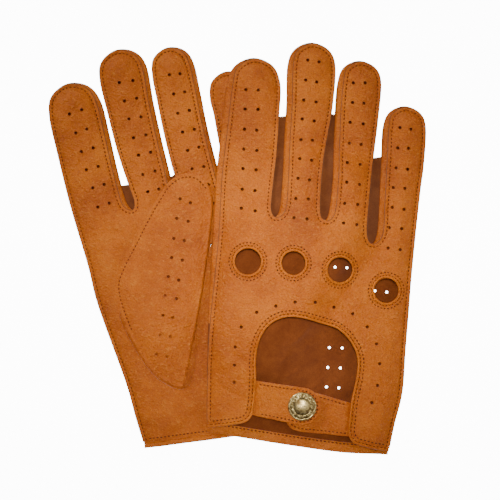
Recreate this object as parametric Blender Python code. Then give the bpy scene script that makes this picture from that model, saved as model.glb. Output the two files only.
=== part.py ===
"""A pair of leather driving gloves, lying flat: left glove palm up, right glove back up over it.

Lengths are millimetres until a mesh is made. Each glove is drawn in its own frame: x across the
hand towards the little finger, y towards the fingertips from the middle of the cuff, z from the
palm's outside (0) to the back's outside (THICK). Both gloves share that frame, because the left
one is turned over. A placement then carries a glove point into the pair's frame: the left glove is
flipped and turned on the table, and the right one is draped over it.
"""

import math

import bmesh
import bpy
import numpy as np
from mathutils import Vector
from mathutils.geometry import delaunay_2d_cdt

MM = 0.001

# Leather and glove thickness
LEATHER = 0.9
THICK = 9.0
MID = THICK / 2
CAVITY_HALF = MID - LEATHER
GAP = 0.3
EDGE_WIDTH = 4.5  # how far in from its seam a panel reaches its full height
SEAM_HALF_GAP = GAP / 2
FORK_RISE = 2.0  # how much further apart the panels' edges stand where a fourchette lies between
STEP = 9.0  # spacing of points along the outlines
GRID = 12.0  # spacing of points inside the panels
LEAST_SPACING = 2.2

# Thumb
THUMB_THICK = 6.0
THUMB_EDGE = 0.6  # half the thickness of its edge
HEEL_SHARE = 0.3  # of its thickness, at its lower end
HEEL_FROM = 32.0
HEEL_LENGTH = 40.0
THUMB_RIM = 1.3  # leather between its edge and its hollow
THUMB_HOLE = (-22.5, 68.0, 12.0, 22.0)  # centre x, y and half widths x, y

# Knuckle holes, wrist opening and cuff
RING_WIDTH = 2.0
RING_TURN = 18  # sides of a knuckle ring
BINDING_WIDTH = 2.0
BINDING_THICK = 1.5
CUFF_WIDTH = 3.0
STAND_PROUD = 0.2  # how far rings and bindings stand into the hollow

# Snap fastener, heights below the upper tab's top face
SNAP = (2.4, 20.6)
TAB_RADIUS = 10.4
CAP_RADIUS = 8.0
CAP_HEIGHT = 2.3
SHANK_RADIUS = 1.6
SOCKET_RADIUS = 5.5
SOCKET_BORE = 2.6
STUD_RADIUS = 1.9
STUD_SHANK = 1.1
POST_RADIUS = 4.5
TAB_SPACING = 2.2  # between the two tabs at the snap
TURN = 24  # sides of a turned metal piece

# How the pair lies
LEFT_TURN = math.radians(17.0)
LEFT_CUFF = (-1.6, -102.8)
RIGHT_CUFF = (33.9, -108.4)
LIFT = THICK + GAP  # height of the right glove where it lies on the left one
THUMB_ROOM = 5 * GAP  # height left round its folded thumb
HUMP_LINE = ((-24.0, 60.0), (-17.0, 88.0), (12.0, 130.0))  # along the thumb, in the glove's frame
HUMP_RADIUS = 19.0
HUMP_FALL = 22.0
DRAPE_TOP = (4.3, 92.0)  # the left glove's little-finger edge, where the right glove starts to fall
DRAPE_FOOT = (52.4, -98.0)
DRAPE_END = 113.0

# Outline knots: x, y, and 1 where a fourchette lies under the edge, 0 where back meets palm.
# Each finger is its thumb-side knots, its tip circle (x, y, radius) and its other side's knots.
RIGHT_FINGERS = (
    ([(-49.9, 68.9, 0), (-47.6, 113.6, 0), (-45.5, 149.3, 0), (-42.4, 176.1, 0)],
     (-24.6, 200.0, 15.0),
     [(-10.3, 183.0, 1), (-11.6, 163.0, 1), (-14.2, 140.4, 1), (-14.9, 130.5, 1)]),
    ([(-10.3, 130.5, 1), (-8.7, 147.5, 1), (-7.6, 170.7, 1), (-6.4, 190.0, 1)],
     (7.7, 210.2, 13.6),
     [(19.7, 188.6, 1), (17.0, 172.5, 1), (13.8, 154.7, 1), (12.3, 129.7, 1)]),
    ([(16.9, 128.0, 1), (19.0, 145.0, 1), (20.0, 166.0, 1), (20.9, 186.0, 1)],
     (34.7, 201.5, 12.4),
     [(45.4, 182.0, 1), (43.8, 168.9, 1), (41.2, 148.0, 1), (38.6, 119.0, 1)]),
    ([(44.2, 116.5, 1), (45.5, 133.2, 1), (46.5, 151.1, 1), (47.1, 162.0, 1)],
     (60.1, 176.4, 12.2),
     [(71.2, 156.0, 0), (69.2, 140.4, 0), (66.4, 115.0, 0), (64.0, 90.4, 0)]),
)
LEFT_FINGERS = (
    ([(-52.6, 89.9, 0), (-51.5, 113.7, 0), (-51.2, 148.0, 0), (-49.6, 178.4, 0)],
     (-32.7, 199.5, 15.2),
     [(-18.4, 180.0, 1), (-19.7, 163.0, 1), (-20.3, 149.0, 1), (-20.0, 140.0, 1)]),
    ([(-16.0, 140.2, 1), (-16.4, 151.5, 1), (-16.8, 170.4, 1), (-15.9, 190.0, 1)],
     (-0.9, 211.0, 13.8),
     [(10.6, 190.1, 1), (9.1, 171.7, 1), (8.0, 153.3, 1), (7.4, 139.0, 1)]),
    ([(9.9, 138.0, 1), (10.1, 154.0, 1), (11.1, 172.0, 1), (12.7, 189.0, 1)],
     (26.6, 205.5, 12.2),
     [(37.5, 187.3, 1), (35.7, 169.2, 1), (34.6, 149.0, 1), (34.4, 130.0, 1)]),
    ([(38.0, 129.0, 1), (38.2, 148.0, 1), (39.6, 162.0, 1), (41.0, 174.0, 1)],
     (53.6, 183.2, 12.0),
     [(65.0, 160.0, 0), (65.0, 140.0, 0), (64.6, 115.0, 0), (63.6, 90.4, 0)]),
)
RIGHT_CROTCHES = ((-12.9, 126.2), (14.7, 124.6), (41.3, 111.4))
LEFT_CROTCHES = ((-18.0, 136.0), (8.7, 133.4), (36.2, 125.0))
THUMB_EDGE_OF_HAND = ((-50.8, 9.4, 0), (-50.8, 24.3, 0), (-50.4, 45.0, 0))
LITTLE_EDGE_OF_HAND = ((62.6, 72.5, 0), (60.8, 51.1, 0), (59.0, 27.9, 0), (54.5, 10.0, 0),
                       (51.6, -3.4, 0))
HEM = ((-50.8, 6.1), (-31.2, 2.9), (-6.2, -1.2), (25.1, -5.5), (50.6, -6.9))
KNUCKLES = ((-27.8, 101.3, 7.4), (-2.6, 100.4, 6.7), (23.3, 96.6, 7.1), (49.6, 85.0, 7.1))
FINGER_NAMES = ("index", "middle", "ring", "little")
DOME = ((-30.5, 11.6), (-26.4, 14.4), (-24.4, 20.7), (-23.5, 35.0), (-23.5, 47.5), (-21.3, 58.2),
        (-16.0, 66.3), (-8.0, 70.4), (1.0, 70.4), (11.7, 67.4), (22.4, 63.6), (29.5, 56.4),
        (33.3, 47.5), (32.8, 36.8), (30.2, 25.2), (29.2, 15.4), (29.0, 6.4), (31.6, 1.4),
        (36.5, -1.2))
THUMB_OUTLINE = ((-21.9, 33.2), (-31.1, 42.1), (-36.5, 55.0), (-40.0, 71.0), (-41.0, 86.2),
                 (-39.4, 98.8), (-32.5, 108.2), (-22.9, 118.0), (-13.2, 128.2), (-2.7, 138.0),
                 (5.8, 144.6), (14.8, 146.7), (22.8, 143.3), (26.9, 135.5), (26.4, 127.0),
                 (22.1, 115.5), (13.3, 95.8), (3.1, 74.6), (-8.0, 53.7), (-17.0, 37.4))
UPPER_TAB_ROOT = ((-22.9, 35.0), (-23.0, 26.0), (-23.9, 15.4))
UNDER_TAB = ((29.6, 22.4), (11.7, 27.5), (2.4, 29.4), (-5.4, 26.6), (-8.4, 18.6), (-5.2, 9.6),
             (0.5, 6.6), (11.7, 5.4), (28.4, 3.8))
THUMB_HINGE = ((-36.8, 55.0), (-40.3, 71.0))

TAN = (0.58, 0.17, 0.026)
BINDING_TAN = (0.66, 0.2, 0.028)
BRASS = (0.36, 0.27, 0.11)


def clear_scene():
    for obj in list(bpy.data.objects):
        bpy.data.objects.remove(obj, do_unlink=True)


def material(name, colour, roughness, metallic=0.0):
    made = bpy.data.materials.new(name)
    made.use_nodes = True
    shader = made.node_tree.nodes["Principled BSDF"]
    shader.inputs["Base Color"].default_value = (*colour, 1.0)
    shader.inputs["Roughness"].default_value = roughness
    shader.inputs["Metallic"].default_value = metallic
    return made


# Curves in the plane


def spline(knots, step=STEP, closed=False):
    """Points along a Catmull-Rom curve through the knots, about a step apart, knots included."""
    knots = [np.array(k, float) for k in knots]
    count = len(knots)
    runs = count if closed else count - 1
    points = []
    for i in range(runs):
        a, b = knots[i], knots[(i + 1) % count]
        before = knots[i - 1] if closed or i > 0 else 2 * a - b
        after = knots[(i + 2) % count] if closed or i + 2 < count else 2 * b - a
        pieces = max(1, round(np.linalg.norm((b - a)[:2]) / step))
        for k in range(pieces):
            t = k / pieces
            points.append(
                0.5 * (2 * a + (b - before) * t + (2 * before - 5 * a + 4 * b - after) * t * t
                       + (3 * a - before - 3 * b + after) * t ** 3)
            )
    if not closed:
        points.append(knots[-1])
    return points


def circle(x, y, radius_x, radius_y=None, sides=RING_TURN):
    radius_y = radius_y or radius_x
    turn = [2 * math.pi * k / sides for k in range(sides)]
    return [np.array((x + radius_x * math.cos(a), y + radius_y * math.sin(a))) for a in turn]


def normals(points, closed=False):
    """The unit normal at each point, to the left of the way the line runs."""
    points = np.array([p[:2] for p in points])
    if closed:
        along = np.roll(points, -1, axis=0) - np.roll(points, 1, axis=0)
    else:
        along = np.gradient(points, axis=0)
    along /= np.linalg.norm(along, axis=1)[:, None]
    return np.stack([-along[:, 1], along[:, 0]], axis=1)


def offset(points, distance, closed=False):
    """The line moved to its left by the distance."""
    return [np.array(p[:2]) + n * distance for p, n in zip(points, normals(points, closed))]


def distances(points, line, closed=False):
    """For each point, its distance to the line and where along it (segment, share) it is nearest."""
    line = np.array([p[:2] for p in line])
    ends = np.roll(line, -1, axis=0) if closed else line[1:]
    starts = line if closed else line[:-1]
    along = ends - starts
    points = np.array(points, float).reshape(-1, 1, 2)
    share = ((points - starts) * along).sum(axis=2) / (along ** 2).sum(axis=1)
    share = np.clip(share, 0, 1)
    gaps = np.linalg.norm(points - starts - share[..., None] * along, axis=2)
    nearest = gaps.argmin(axis=1)
    rows = np.arange(len(nearest))
    return gaps[rows, nearest], nearest, share[rows, nearest]


def inside(points, loop):
    """Which points lie inside the closed loop."""
    loop = np.array([p[:2] for p in loop])
    following = np.roll(loop, -1, axis=0)
    points = np.array(points, float).reshape(-1, 1, 2)
    crosses = (loop[:, 1] > points[..., 1]) != (following[:, 1] > points[..., 1])
    rise = np.where(following[:, 1] == loop[:, 1], 1.0, following[:, 1] - loop[:, 1])
    x = loop[:, 0] + (points[..., 1] - loop[:, 1]) * (following - loop)[:, 0] / rise
    return (crosses & (points[..., 0] < x)).sum(axis=1) % 2 == 1


def smooth(u):
    u = min(max(u, 0.0), 1.0)
    return u * u * (3 - 2 * u)


# A glove's pattern


def finger_knots(finger):
    """A finger's knots in order, with five on its tip circle."""
    thumb_side, (x, y, radius), other_side = finger
    tip = [(x + radius * math.cos(a), y + radius * math.sin(a), 0)
           for a in (math.pi * (1 - k / 4) for k in range(5))]
    return [*thumb_side, *tip, *other_side]


def rim_of(fingers, crotches):
    """The line where back and palm meet, from the thumb-side cuff round the fingers to the other."""
    knots = list(THUMB_EDGE_OF_HAND)
    for number, finger in enumerate(fingers):
        knots += finger_knots(finger)
        if number < len(crotches):
            knots.append((*crotches[number], 1))
    knots += LITTLE_EDGE_OF_HAND
    return spline(knots)


class Shell:
    """Heights of the panels at each place, from how far it is from the rim."""

    def __init__(self, rim):
        self.rim = rim
        self.rise = np.clip([p[2] for p in rim], 0, 1) * FORK_RISE

    def rim_half(self, x, y):
        """Half the gap between the panels' edges at the nearest place on the rim, and how far."""
        away, segment, share = (v[0] for v in distances([(x, y)], self.rim))
        here, beyond = self.rise[segment], self.rise[segment + 1]
        return SEAM_HALF_GAP + here + (beyond - here) * share, away

    def inner(self, x, y):
        """Half the height of the hollow."""
        edge, away = self.rim_half(x, y)
        return edge + (CAVITY_HALF - edge) * math.sin(math.pi / 2 * min(away / EDGE_WIDTH, 1))

    def back(self, x, y):
        half = self.inner(x, y)
        return MID + half, MID + half + LEATHER

    def palm(self, x, y):
        half = self.inner(x, y)
        return MID - half - LEATHER, MID - half


# Solids made of facets


def triangles(outline, holes=(), rings=(), grid=GRID):
    """Triangles over the region inside the outline and outside the holes, and its edge segments."""
    loops = [outline, *holes]
    candidates = []
    for distance in rings:
        candidates += [(p, distance * 0.95) for p in offset(outline, -distance, closed=True)]
        candidates += [(p, distance * 0.95) for hole in holes for p in offset(hole, -distance, True)]
    low = np.min([p[:2] for p in outline], axis=0)
    high = np.max([p[:2] for p in outline], axis=0)
    for row, y in enumerate(np.arange(low[1], high[1], grid * 0.87)):
        for x in np.arange(low[0] + grid / 2 * (row % 2), high[0], grid):
            candidates.append((np.array((x, y)), max([*rings, 0]) + grid * 0.3))
    places = [p for p, _ in candidates]
    clear = np.min([distances(places, loop, True)[0] for loop in loops], axis=0)
    within = inside(places, outline) & ~np.any([inside(places, h) for h in holes] or [[False]], axis=0)
    kept = []
    for (place, needed), room, is_in in zip(candidates, clear, within):
        apart = np.linalg.norm(np.array(kept) - place, axis=1).min() if kept else LEAST_SPACING
        if is_in and room >= needed and apart >= LEAST_SPACING:
            kept.append(place)
    points, edges = [], []
    for loop in loops:
        start, count = len(points), len(loop)
        points += [Vector(p[:2]) for p in loop]
        edges += [(start + k, start + (k + 1) % count) for k in range(count)]
    points += [Vector(p) for p in kept]
    flat, _, faces, *_ = delaunay_2d_cdt(points, edges, [], 0, 1e-4)
    flat = [tuple(p) for p in flat]
    centres = [np.mean([flat[i] for i in face], axis=0) for face in faces]
    keep = inside(centres, outline)
    for hole in holes:
        keep &= ~inside(centres, hole)
    faces = [face for face, wanted in zip(faces, keep) if wanted]
    directed = {(f[k], f[(k + 1) % 3]) for f in faces for k in range(3)}
    border = [(flat[a], flat[b]) for a, b in directed if (b, a) not in directed]
    return [[flat[i] for i in face] for face in faces], border


def wall(a, b, low_a, low_b, high_b, high_a):
    return [(*a, low_a), (*b, low_b), (*b, high_b), (*a, high_a)]


def sheet(faces, border, heights):
    """Facets of a sheet between the two heights that heights(x, y) gives."""
    facets = []
    for face in faces:
        facets.append([(*p, heights(*p)[1]) for p in face])
        facets.append([(*p, heights(*p)[0]) for p in reversed(face)])
    for a, b in border:
        low_a, high_a = heights(*a)
        low_b, high_b = heights(*b)
        facets.append(wall(a, b, low_a, low_b, high_b, high_a))
    return facets


def band(one_side, other_side, heights, closed=False):
    """Facets of a strip between two lines of as many points."""
    corners = []
    for a, b in zip(one_side, other_side):
        low_a, high_a = heights(*a[:2])
        low_b, high_b = heights(*b[:2])
        corners.append([(*a[:2], low_a), (*a[:2], high_a), (*b[:2], high_b), (*b[:2], low_b)])
    count = len(corners)
    facets = []
    for k in range(count if closed else count - 1):
        here, following = corners[k], corners[(k + 1) % count]
        for side in range(4):
            turn = (side + 1) % 4
            facets.append([here[side], following[side], following[turn], here[turn]])
    if not closed:
        facets += [corners[0], corners[-1][::-1]]
    return facets


def turned(profile, x, y, z):
    """Facets of a solid turned about the upright line at x, y, from (radius, height) points."""
    rings = []
    for radius, height in profile:
        if radius == 0:
            rings.append([(x, y, z + height)])
        else:
            rings.append([(*p, z + height) for p in circle(x, y, radius, sides=TURN)])
    facets = []
    for lower, upper in zip(rings, [*rings[1:], rings[0]]):
        for k in range(TURN):
            quad = [lower[k % len(lower)], lower[(k + 1) % len(lower)],
                    upper[(k + 1) % len(upper)], upper[k % len(upper)]]
            facets.append(quad)
    return facets


def make(name, facets, placement, finish, origin):
    """One object from facets given in the glove's frame, with its origin at a pair-frame point."""
    points, numbers, loops = [], {}, []
    for facet in facets:
        loop = []
        for point in facet:
            key = tuple(round(float(v), 3) for v in point)
            if key not in numbers:
                numbers[key] = len(points)
                points.append((np.array(placement(*key)) - origin) * MM)
            if numbers[key] not in loop:
                loop.append(numbers[key])
        if len(loop) > 2:
            loops.append(loop)
    mesh = bpy.data.meshes.new(name)
    mesh.from_pydata(points, [], loops)
    shaped = bmesh.new()
    shaped.from_mesh(mesh)
    bmesh.ops.recalc_face_normals(shaped, faces=shaped.faces)
    shaped.to_mesh(mesh)
    shaped.free()
    mesh.materials.append(finish)
    mesh.shade_smooth()
    mesh.set_sharp_from_angle(angle=math.radians(35))
    made = bpy.data.objects.new(name, mesh)
    made.location = Vector(origin) * MM
    bpy.context.scene.collection.objects.link(made)
    return made


# Where a glove lies


def drape(x, y):
    """Height of what the right glove lies on: the left glove, and the table past its edge."""
    share = (y - DRAPE_FOOT[1]) / (DRAPE_TOP[1] - DRAPE_FOOT[1])
    start = DRAPE_FOOT[0] + (DRAPE_TOP[0] - DRAPE_FOOT[0]) * share
    return LIFT * (1 - smooth((x - start) / (DRAPE_END - start)))


def thumb_thickness(y):
    """The thumb's thickness, which tapers to its seam at the heel of the hand."""
    return THUMB_THICK * (HEEL_SHARE + (1 - HEEL_SHARE) * smooth((y - HEEL_FROM) / HEEL_LENGTH))


def hump(x, y):
    """How far the folded thumb raises the right glove, at a place in the glove's frame."""
    away = distances([(x, y)], HUMP_LINE)[0][0] - HUMP_RADIUS
    return (thumb_thickness(y) + THUMB_ROOM) * (1 - smooth(away / HUMP_FALL))


def place_left(x, y, z):
    c, s = math.cos(LEFT_TURN), math.sin(LEFT_TURN)
    return (LEFT_CUFF[0] + x * c - y * s, LEFT_CUFF[1] + x * s + y * c, THICK - z)


def place_right(x, y, z):
    pair_x, pair_y = x + RIGHT_CUFF[0], y + RIGHT_CUFF[1]
    return (pair_x, pair_y, z + drape(pair_x, pair_y) + hump(x, y))


def place_right_thumb(x, y, z):
    pair_x, pair_y = x + RIGHT_CUFF[0], y + RIGHT_CUFF[1]
    return (pair_x, pair_y, z + drape(pair_x, pair_y) + thumb_thickness(y) + 2 * GAP)


class Glove:
    """One glove's parts. tab_sink is how far its strap lies below the face of its back."""

    def __init__(self, side, fingers, crotches, placement, thumb_placement, tab_sink, finishes):
        self.side = side
        self.placement = placement
        self.thumb_placement = thumb_placement
        self.tab_sink = tab_sink
        self.leather, self.binding, self.brass = finishes
        self.rim = rim_of(fingers, crotches)
        self.shell = Shell(self.rim)
        self.body = bpy.data.objects.new(f"{side}_glove", None)
        self.body.location = Vector(placement(0, 0, MID)) * MM
        bpy.context.scene.collection.objects.link(self.body)
        bpy.context.view_layer.update()
        self.dome = spline(DOME, step=6.0)
        self.hem = spline(HEM, step=6.0)

    def add(self, name, facets, finish, pivot=None, placement=None):
        """A part of the glove. One that moves has its origin at pivot, on its joint's axis."""
        made = make(f"{self.side}_{name}", facets, placement or self.placement, finish,
                    pivot or self.placement(0, 0, MID))
        made.parent = self.body
        made.matrix_parent_inverse = self.body.matrix_world.inverted()

    def back_panel(self):
        edge = offset(self.dome, BINDING_WIDTH + GAP)
        rim = [p[:2] for p in self.rim]
        outline = [*rim, *reversed(edge)]
        holes = [circle(x, y, r + RING_WIDTH + GAP) for x, y, r in KNUCKLES]
        faces, border = triangles(outline, holes, rings=(EDGE_WIDTH,))
        self.add("back_panel", sheet(faces, border, self.shell.back), self.leather)

    def palm_panel(self):
        hem = offset(self.hem, CUFF_WIDTH + GAP)
        outline = [*(p[:2] for p in self.rim), *reversed(hem[1:-1])]
        hole = circle(*THUMB_HOLE, sides=24)
        faces, border = triangles(outline, [hole], rings=(EDGE_WIDTH,))
        self.add("palm_panel", sheet(faces, border, self.shell.palm), self.leather)

    def thumb(self):
        """A flat hollow thumb under the palm, open over the palm's thumb hole."""
        outline = spline(THUMB_OUTLINE, closed=True)
        hollow = offset(outline, -THUMB_RIM, closed=True)
        mouth = circle(*THUMB_HOLE, sides=24)
        middle = -GAP - THUMB_THICK / 2

        def half_height(line, edge, full):
            def height(x, y):
                away = distances([(x, y)], line, True)[0][0]
                return edge + (full - edge) * math.sin(math.pi / 2 * min(away / EDGE_WIDTH, 1))
            return height
        outer = half_height(outline, THUMB_EDGE, THUMB_THICK / 2)
        inner = half_height(hollow, THUMB_EDGE / 2, THUMB_THICK / 2 - LEATHER)
        facets = []
        for line, half in ((outline, outer), (hollow, inner)):
            far, edges = triangles(line, rings=(EDGE_WIDTH,))
            near, near_edges = triangles(line, [mouth], rings=(EDGE_WIDTH,))
            facets += [[(*p, middle - half(*p)) for p in face] for face in far]
            facets += [[(*p, middle + half(*p)) for p in face] for face in near]
            facets += [wall(a, b, middle - half(*a), middle - half(*b),
                            middle + half(*b), middle + half(*a)) for a, b in edges]
        for a, b in near_edges:
            if distances([a, b], mouth, True)[0].max() < 0.01:
                facets.append(wall(a, b, middle + inner(*a), middle + inner(*b),
                                   middle + outer(*b), middle + outer(*a)))
        tapered = [[(x, y, -GAP + (z + GAP) * thumb_thickness(y) / THUMB_THICK) for x, y, z in facet]
                   for facet in facets]
        pivot = self.thumb_placement(*THUMB_HINGE[0], 0)
        self.add("thumb", tapered, self.leather, pivot, self.thumb_placement)

    def fourchettes(self):
        """One forked strip for each gap between fingers, standing between back and palm."""
        runs, run = [], []
        for number, rise in enumerate(self.shell.rise):
            if rise > 0.45 * FORK_RISE:
                run.append(number)
            elif run:
                runs.append(run)
                run = []
        names = [f"fourchette_{a}_{b}" for a, b in zip(FINGER_NAMES, FINGER_NAMES[1:])]
        outer_line = offset(self.rim, -0.2)
        inner_line = offset(self.rim, -0.2 - LEATHER)

        def heights(x, y):
            half = self.shell.rim_half(x, y)[0] - GAP
            return MID - half, MID + half
        for name, numbers in zip(names, runs):
            facets = band([outer_line[n] for n in numbers], [inner_line[n] for n in numbers], heights)
            self.add(name, facets, self.leather)

    def edging_heights(self, x, y):
        """Rings and bindings lie flush with the back's face and stand proud inside."""
        low, high = self.shell.back(x, y)
        return low - STAND_PROUD, high

    def knuckle_rings(self):
        for finger, (x, y, radius) in zip(FINGER_NAMES, KNUCKLES):
            facets = band(circle(x, y, radius), circle(x, y, radius + RING_WIDTH),
                          self.edging_heights, True)
            self.add(f"knuckle_ring_{finger}", facets, self.binding)

    def dome_binding(self):
        facets = band(self.dome, offset(self.dome, BINDING_WIDTH), self.edging_heights)
        self.add("dome_binding", facets, self.binding)

    def cuff_binding(self):
        def heights(x, y):
            low, _ = self.shell.palm(x, y)
            return low, low + BINDING_THICK
        facets = band(self.hem, offset(self.hem, CUFF_WIDTH), heights)
        self.add("cuff_binding", facets, self.binding)

    def upper_tab_top(self, x):
        """The upper tab's top face: level with the cuff leg at its root, sunk at the snap."""
        return THICK - self.tab_sink * smooth((x - UPPER_TAB_ROOT[0][0]) / 16.0)

    def under_tab_top(self, x):
        """The under tab's top face: level with the other leg at its root, below the upper tab."""
        deep = self.tab_sink + LEATHER + TAB_SPACING
        return THICK - deep * (1 - smooth((x - 14.5) / 13.0))

    def tab_pivot(self):
        x, y = UPPER_TAB_ROOT[-1]
        return self.placement(x - GAP, y, THICK)

    def snap_tab(self):
        lean = math.radians(-10.5)
        turn = [lean + math.radians(a) for a in range(-90, 91, 15)]
        end = [(SNAP[0] + TAB_RADIUS * math.cos(a), SNAP[1] + TAB_RADIUS * math.sin(a)) for a in turn]
        outline = [*UPPER_TAB_ROOT, *spline([UPPER_TAB_ROOT[-1], end[0]], 5.0)[1:-1], *end,
                   *spline([end[-1], UPPER_TAB_ROOT[0]], 5.0)[1:-1]]
        hole = circle(*SNAP, SHANK_RADIUS + GAP, sides=12)
        faces, border = triangles(outline, [hole], grid=6.0)

        def heights(x, y):
            top = self.upper_tab_top(x)
            return top - LEATHER, top
        self.add("snap_tab", sheet(faces, border, heights), self.leather, self.tab_pivot())

    def under_tab(self):
        outline = spline(UNDER_TAB, 5.0)
        hole = circle(*SNAP, STUD_SHANK + GAP, sides=12)
        faces, border = triangles(outline, [hole], grid=6.0)

        def heights(x, y):
            top = self.under_tab_top(x)
            return top - LEATHER, top
        self.add("under_tab", sheet(faces, border, heights), self.leather)

    def snap(self):
        """Cap, socket, stud and post, each turned about the snap's centre."""
        top = self.upper_tab_top(SNAP[0])
        x, y = SNAP
        pivot = self.tab_pivot()
        under = LEATHER + TAB_SPACING
        cap = [(0, -LEATHER), (SHANK_RADIUS, -LEATHER), (SHANK_RADIUS, GAP),
               (CAP_RADIUS - 0.5, GAP), (CAP_RADIUS, GAP + 0.4), (CAP_RADIUS - 0.2, GAP + 0.9),
               (6.6, GAP + 1.35), (6.1, GAP + 1.15), (5.6, GAP + 1.45), (3.4, CAP_HEIGHT - 0.12),
               (0, CAP_HEIGHT)]
        socket = [(SOCKET_BORE, -LEATHER - 1.8), (SOCKET_RADIUS - 0.4, -LEATHER - 1.8),
                  (SOCKET_RADIUS, -LEATHER - 1.4), (SOCKET_RADIUS, -LEATHER - GAP),
                  (SOCKET_BORE, -LEATHER - GAP)]
        stud = [(0, -under - LEATHER), (STUD_SHANK, -under - LEATHER), (STUD_SHANK, -under + GAP),
                (STUD_RADIUS - 0.3, -under + GAP), (STUD_RADIUS, -under + 0.8),
                (STUD_RADIUS - 0.5, -under + 1.4), (0, -under + 1.5)]
        post = [(0, -under - LEATHER - 0.9), (POST_RADIUS - 0.2, -under - LEATHER - 0.9),
                (POST_RADIUS, -under - LEATHER - 0.6), (POST_RADIUS - 0.2, -under - LEATHER - GAP),
                (0, -under - LEATHER - GAP)]

        def level(px, py, pz):
            """Metal stays rigid, so the whole snap takes its centre's height."""
            return (*self.placement(px, py, pz)[:2], self.placement(x, y, pz)[2])
        for name, profile, moves in (("snap_cap", cap, True), ("snap_socket", socket, True),
                                     ("snap_stud", stud, False), ("snap_post", post, False)):
            self.add(name, turned(profile, x, y, top), self.brass, pivot if moves else None, level)

    def build(self):
        self.back_panel()
        self.palm_panel()
        self.thumb()
        self.fourchettes()
        self.knuckle_rings()
        self.dome_binding()
        self.cuff_binding()
        self.snap_tab()
        self.under_tab()
        self.snap()


def centre_on_origin(gloves):
    """Moves both gloves so that the pair's box stands on the origin at the middle of its base."""
    bpy.context.view_layer.update()
    corners = []
    for obj in bpy.context.scene.objects:
        if obj.type == "MESH":
            corners += [obj.matrix_world @ v.co for v in obj.data.vertices]
    low, high = np.min(corners, axis=0), np.max(corners, axis=0)
    shift = Vector(((low[0] + high[0]) / 2, (low[1] + high[1]) / 2, low[2]))
    for glove in gloves:
        glove.body.location -= shift


def main():
    clear_scene()
    finishes = (material("leather", TAN, 0.55), material("binding_leather", BINDING_TAN, 0.5),
                material("brass", BRASS, 0.35, 1.0))
    left = Glove("left", LEFT_FINGERS, LEFT_CROTCHES, place_left, place_left, 2.4, finishes)
    right = Glove("right", RIGHT_FINGERS, RIGHT_CROTCHES, place_right, place_right_thumb, 0.0,
                  finishes)
    for glove in (left, right):
        glove.build()
    centre_on_origin((left, right))


main()
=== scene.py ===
"""Looks of a pair of leather driving gloves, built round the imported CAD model.

Every glove is drawn flat in its own frame, in millimetres: x across the hand towards the little
finger, y towards the fingertips, z from the palm's outside (0) to the back's outside (THICK). A
placement then carries its points into the row frame: the left glove is turned over on the table,
and the right one is draped half over it.
"""

import math

import bpy
import numpy as np
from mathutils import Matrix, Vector, noise
from mathutils.geometry import delaunay_2d_cdt


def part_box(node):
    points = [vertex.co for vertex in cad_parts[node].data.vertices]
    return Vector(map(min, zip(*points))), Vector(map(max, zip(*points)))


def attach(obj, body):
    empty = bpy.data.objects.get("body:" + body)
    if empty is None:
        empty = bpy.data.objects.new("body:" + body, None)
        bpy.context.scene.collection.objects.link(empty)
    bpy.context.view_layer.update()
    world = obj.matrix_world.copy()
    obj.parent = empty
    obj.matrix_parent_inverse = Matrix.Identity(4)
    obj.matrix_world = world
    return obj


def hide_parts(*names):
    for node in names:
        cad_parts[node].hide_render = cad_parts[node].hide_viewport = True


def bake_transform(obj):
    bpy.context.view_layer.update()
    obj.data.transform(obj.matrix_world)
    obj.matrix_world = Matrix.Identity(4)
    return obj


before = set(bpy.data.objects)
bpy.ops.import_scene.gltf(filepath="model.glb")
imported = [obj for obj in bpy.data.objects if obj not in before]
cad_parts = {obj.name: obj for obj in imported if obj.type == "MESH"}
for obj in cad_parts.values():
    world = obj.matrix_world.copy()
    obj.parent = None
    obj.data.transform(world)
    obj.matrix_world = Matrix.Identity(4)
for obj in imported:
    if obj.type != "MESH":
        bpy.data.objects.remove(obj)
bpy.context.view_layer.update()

MM = 0.001

# The same driving sizes as the CAD model
LEATHER = 0.9
THICK = 9.0
MID = THICK / 2
CAVITY_HALF = MID - LEATHER
GAP = 0.3
FORK_RISE = 2.0
THUMB_THICK = 6.0
HEEL_SHARE = 0.3
HEEL_FROM = 32.0
HEEL_LENGTH = 40.0
THUMB_HOLE = (-22.5, 68.0, 12.0, 22.0)
RING_WIDTH = 2.0
BINDING_WIDTH = 2.0
CUFF_WIDTH = 3.0
SNAP = (2.4, 20.6)
TAB_RADIUS = 10.4
TAB_SPACING = 2.2
LEFT_TURN = math.radians(17.0)
LEFT_CUFF = (-1.6, -102.8)
RIGHT_CUFF = (33.9, -108.4)
LIFT = THICK + GAP
THUMB_ROOM = 5 * GAP
HUMP_LINE = ((-24.0, 60.0), (-17.0, 88.0), (12.0, 130.0))
HUMP_RADIUS = 19.0
HUMP_FALL = 22.0
DRAPE_TOP = (4.3, 92.0)
DRAPE_FOOT = (52.4, -98.0)
DRAPE_END = 113.0

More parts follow.
